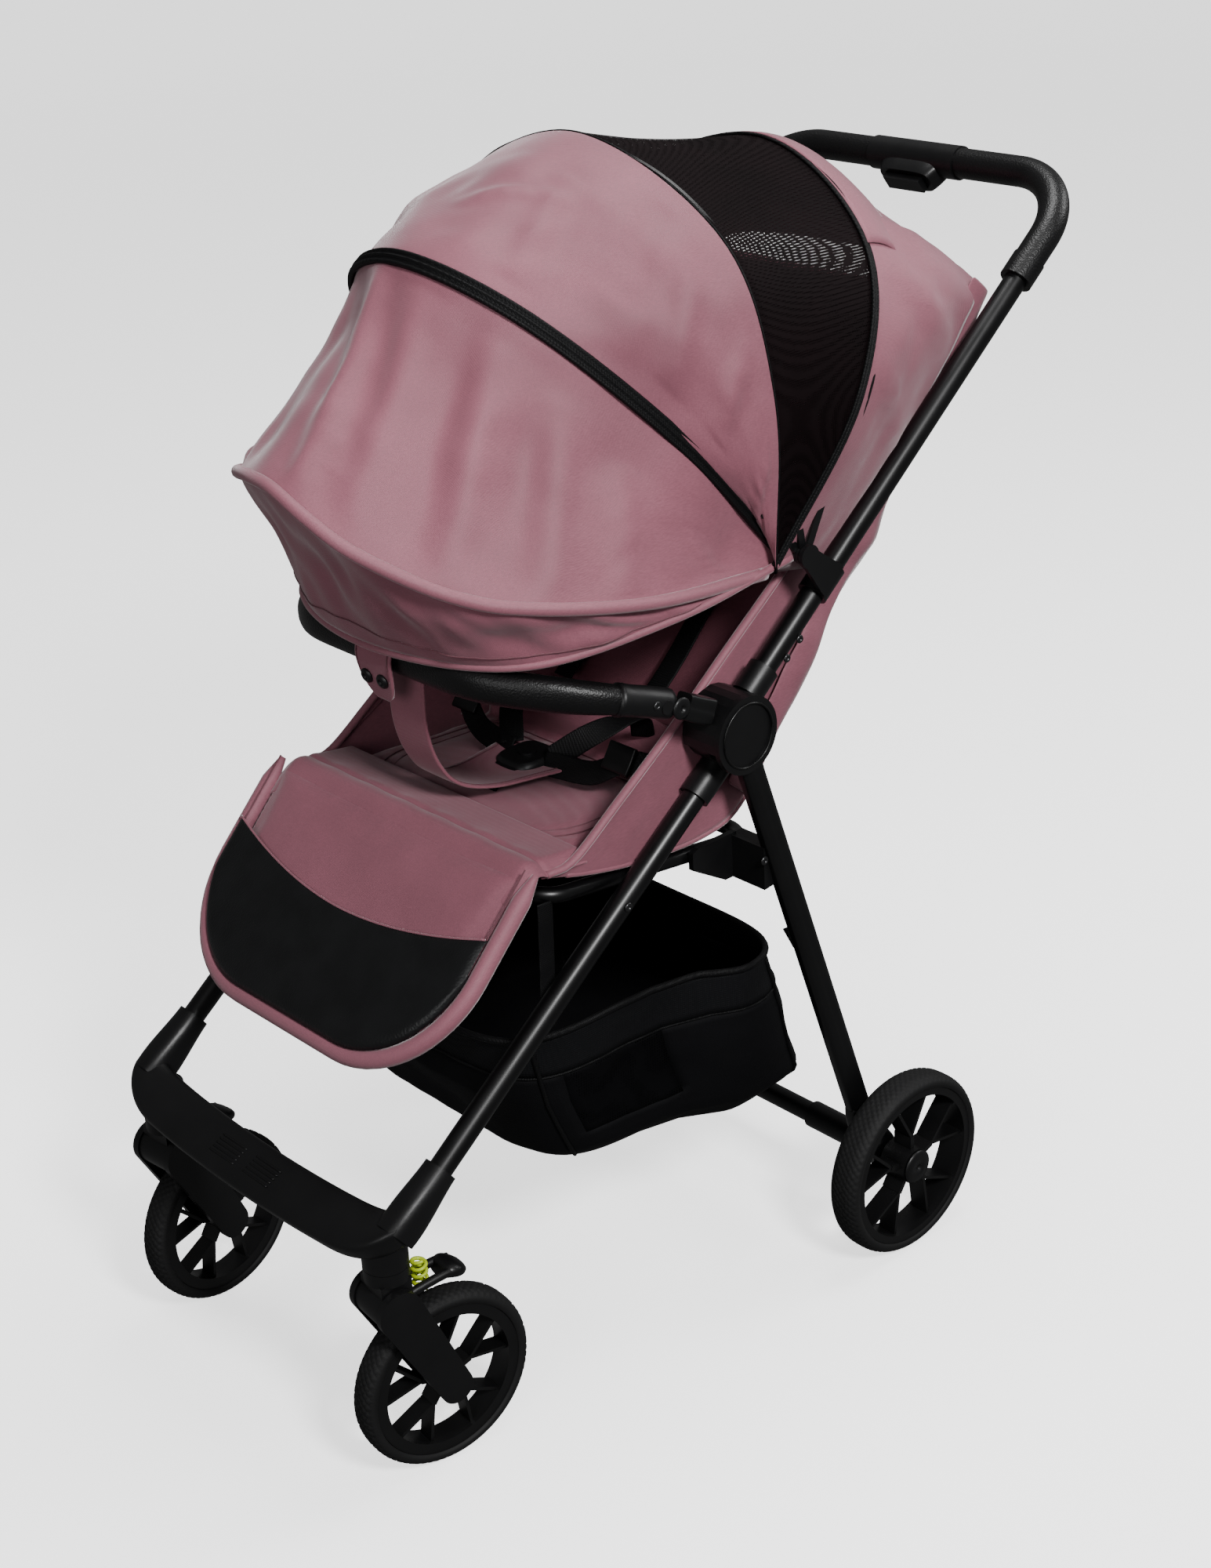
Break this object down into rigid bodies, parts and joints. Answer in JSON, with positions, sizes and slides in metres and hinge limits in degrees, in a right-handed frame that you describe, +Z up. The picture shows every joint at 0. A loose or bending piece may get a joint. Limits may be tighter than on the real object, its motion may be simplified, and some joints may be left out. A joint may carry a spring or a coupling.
{
  "type": "baby stroller",
  "caption": "Folding baby stroller with fan canopy, reclining padded seat, bumper bar, swivelling front casters and under-seat basket.",
  "frame": {"origin": "on the floor under the middle of the stroller's box", "axes": "+Z up, -Y the way the stroller faces, +X its left-hand side"},
  "size_m": [0.5898, 0.997, 1.1484],
  "materials": {
    "pink_fabric": "woven, soft sheen",
    "black_mesh": "open mesh",
    "black_fabric": "woven, matt",
    "black_webbing": "ribbed webbing",
    "tyre": "matt foam rubber, diamond tread",
    "painted_tube": "satin powder coat",
    "leatherette": "fine grain",
    "steel": "brushed",
    "lime_paint": "satin",
    "rim_plastic": "fine moulded texture",
    "black_plastic": "fine moulded texture"
  },
  "bodies": {
    "root": {"handle_tube_left": "painted_tube", "handle_tube_right": "painted_tube", "grip_left": "leatherette", "grip_right": "leatherette", "handle_pod": "black_plastic", "hub_housing_left": "black_plastic", "hub_housing_right": "black_plastic", "hub_caps": "black_plastic", "hub_pins": "steel", "canopy_clamps": "black_plastic", "canopy_bow_rear": "black_plastic", "seat_frame": "painted_tube", "seat_pad": "pink_fabric", "seat_sides": "pink_fabric", "harness_buckle": "black_plastic", "basket": "black_fabric", "crotch_strap": "pink_fabric", "canopy_rear_shell": "pink_fabric"},
    "fold_trigger": {"fold_trigger": "black_plastic"},
    "canopy_mid": {"canopy_bow_mid": "black_plastic", "canopy_mesh": "black_mesh"},
    "canopy_zip": {"canopy_bow_zip": "black_plastic", "canopy_panel_mid": "pink_fabric"},
    "canopy_visor": {"canopy_bow_visor": "black_plastic", "canopy_panel_visor": "pink_fabric", "canopy_flap": "pink_fabric"},
    "backrest": {"backrest_board": "black_plastic", "backrest_pad": "pink_fabric", "back_skirt": "pink_fabric", "harness_straps": "black_webbing"},
    "legrest": {"legrest_pad": "pink_fabric"},
    "bumper": {"bumper_bar": "leatherette"},
    "bumper_button_left": {"bumper_button_left": "black_plastic"},
    "bumper_button_right": {"bumper_button_right": "black_plastic"},
    "buckle_button": {"buckle_button": "black_plastic"},
    "front_frame": {"front_leg_left": "painted_tube", "front_leg_right": "painted_tube", "leg_collars": "black_plastic", "footrest": "black_plastic"},
    "rear_frame": {"rear_leg_left": "painted_tube", "rear_leg_right": "painted_tube", "rear_axle": "painted_tube", "seat_brackets": "black_plastic"},
    "brake_pedal": {"brake_pedal": "black_plastic"},
    "caster_left": {"caster_swivel_left": "black_plastic", "caster_spring_left": "lime_paint"},
    "fork_left": {"fork_left": "black_plastic"},
    "swivel_lock_left": {"swivel_lock_left": "black_plastic"},
    "front_wheel_left": {"front_tyre_left": "tyre", "front_rim_left": "rim_plastic"},
    "rear_wheel_left": {"rear_tyre_left": "tyre", "rear_rim_left": "rim_plastic"},
    "caster_right": {"caster_swivel_right": "black_plastic", "caster_spring_right": "lime_paint"},
    "fork_right": {"fork_right": "black_plastic"},
    "swivel_lock_right": {"swivel_lock_right": "black_plastic"},
    "front_wheel_right": {"front_tyre_right": "tyre", "front_rim_right": "rim_plastic"},
    "rear_wheel_right": {"rear_tyre_right": "tyre", "rear_rim_right": "rim_plastic"}
  },
  "joints": [
    {"name": "front_leg_fold", "type": "hinge", "parent": "root", "child": "front_frame", "pos_m": [0, -0.02968, 0.628], "axis": [1, 0, 0], "range_deg": [0, 30]},
    {"name": "rear_leg_fold", "type": "hinge", "parent": "root", "child": "rear_frame", "pos_m": [0, -0.02968, 0.628], "axis": [1, 0, 0], "range_deg": [-10.2, 0]},
    {"name": "caster_swivel_left", "type": "hinge", "parent": "front_frame", "child": "caster_left", "pos_m": [0.178, -0.45318, 0.238], "axis": [0, 0, 1], "continuous": true},
    {"name": "fork_suspension_left", "type": "hinge", "parent": "caster_left", "child": "fork_left", "pos_m": [0.17755, -0.45716, 0.198], "axis": [0.9938, -0.1115, 0], "range_deg": [0, 5], "stiffness_Nm_per_rad": 60, "springref_deg": -3.44, "deforming": ["caster_spring_left"]},
    {"name": "swivel_lock_left", "type": "hinge", "parent": "caster_left", "child": "swivel_lock_left", "pos_m": [0.18246, -0.41343, 0.208], "axis": [0.9938, -0.1115, 0], "range_deg": [-8, 0]},
    {"name": "front_wheel_spin_left", "type": "hinge", "parent": "fork_left", "child": "front_wheel_left", "pos_m": [0.18319, -0.40687, 0.0909], "axis": [0.9938, -0.1115, 0], "continuous": true},
    {"name": "rear_wheel_spin_left", "type": "hinge", "parent": "rear_frame", "child": "rear_wheel_left", "pos_m": [0.2774, 0.13802, 0.0994], "axis": [1, 0, 0], "continuous": true},
    {"name": "bumper_release_left", "type": "slide", "parent": "bumper", "child": "bumper_button_left", "axis": [-1, 0, 0], "range_m": [0, 0.003], "stiffness_N_per_m": 300, "springref_m": -0.002},
    {"name": "caster_swivel_right", "type": "hinge", "parent": "front_frame", "child": "caster_right", "pos_m": [-0.178, -0.45318, 0.238], "axis": [0, 0, 1], "continuous": true},
    {"name": "fork_suspension_right", "type": "hinge", "parent": "caster_right", "child": "fork_right", "pos_m": [-0.17755, -0.45716, 0.198], "axis": [0.9938, 0.1115, 0], "range_deg": [0, 5], "stiffness_Nm_per_rad": 60, "springref_deg": -3.44, "deforming": ["caster_spring_right"]},
    {"name": "swivel_lock_right", "type": "hinge", "parent": "caster_right", "child": "swivel_lock_right", "pos_m": [-0.18246, -0.41343, 0.208], "axis": [0.9938, 0.1115, 0], "range_deg": [-8, 0]},
    {"name": "front_wheel_spin_right", "type": "hinge", "parent": "fork_right", "child": "front_wheel_right", "pos_m": [-0.18319, -0.40687, 0.0909], "axis": [0.9938, 0.1115, 0], "continuous": true},
    {"name": "rear_wheel_spin_right", "type": "hinge", "parent": "rear_frame", "child": "rear_wheel_right", "pos_m": [-0.2774, 0.13802, 0.0994], "axis": [1, 0, 0], "continuous": true},
    {"name": "bumper_release_right", "type": "slide", "parent": "bumper", "child": "bumper_button_right", "axis": [1, 0, 0], "range_m": [0, 0.003], "stiffness_N_per_m": 300, "springref_m": -0.002},
    {"name": "brake_pedal_press", "type": "hinge", "parent": "rear_frame", "child": "brake_pedal", "pos_m": [-0.185, 0.15902, 0.1114], "axis": [1, 0, 0], "range_deg": [-14, 0]},
    {"name": "canopy_visor_fold", "type": "hinge", "parent": "canopy_zip", "child": "canopy_visor", "pos_m": [0, 0.06512, 0.7742], "axis": [1, 0, 0], "range_deg": [-21.8, 0], "deforming": ["canopy_mesh", "canopy_panel_mid", "canopy_panel_visor", "canopy_flap"]},
    {"name": "canopy_mid_fold", "type": "hinge", "parent": "root", "child": "canopy_mid", "pos_m": [0, 0.06512, 0.7742], "axis": [1, 0, 0], "range_deg": [-28.1, 0]},
    {"name": "canopy_zip_fold", "type": "hinge", "parent": "canopy_mid", "child": "canopy_zip", "pos_m": [0, 0.06512, 0.7742], "axis": [1, 0, 0], "range_deg": [-23.6, 0]},
    {"name": "backrest_recline", "type": "hinge", "parent": "root", "child": "backrest", "pos_m": [0, 0.00032, 0.532], "axis": [1, 0, 0], "range_deg": [-24, 0], "deforming": ["back_skirt", "canopy_rear_shell", "harness_straps"]},
    {"name": "legrest_lift", "type": "hinge", "parent": "root", "child": "legrest", "pos_m": [0, -0.24268, 0.541], "axis": [1, 0, 0], "range_deg": [-44, 0]},
    {"name": "bumper_swing", "type": "hinge", "parent": "root", "child": "bumper", "pos_m": [0, -0.10768, 0.68], "axis": [1, 0, 0], "range_deg": [0, 26], "deforming": ["crotch_strap"]},
    {"name": "fold_trigger_squeeze", "type": "slide", "parent": "root", "child": "fold_trigger", "axis": [0, 0.7782, 0.628], "range_m": [0, 0.006], "stiffness_N_per_m": 300, "springref_m": -0.003},
    {"name": "buckle_press", "type": "slide", "parent": "root", "child": "buckle_button", "axis": [0, 0, -1], "range_m": [0, 0.002], "stiffness_N_per_m": 300, "springref_m": -0.002}
  ],
  "couplings": [
    {"joint": "rear_leg_fold", "follows": "front_leg_fold", "ratio": -0.33333},
    {"joint": "canopy_mid_fold", "follows": "canopy_visor_fold", "ratio": 1.2798},
    {"joint": "canopy_zip_fold", "follows": "canopy_visor_fold", "ratio": 1.0734}
  ]
}
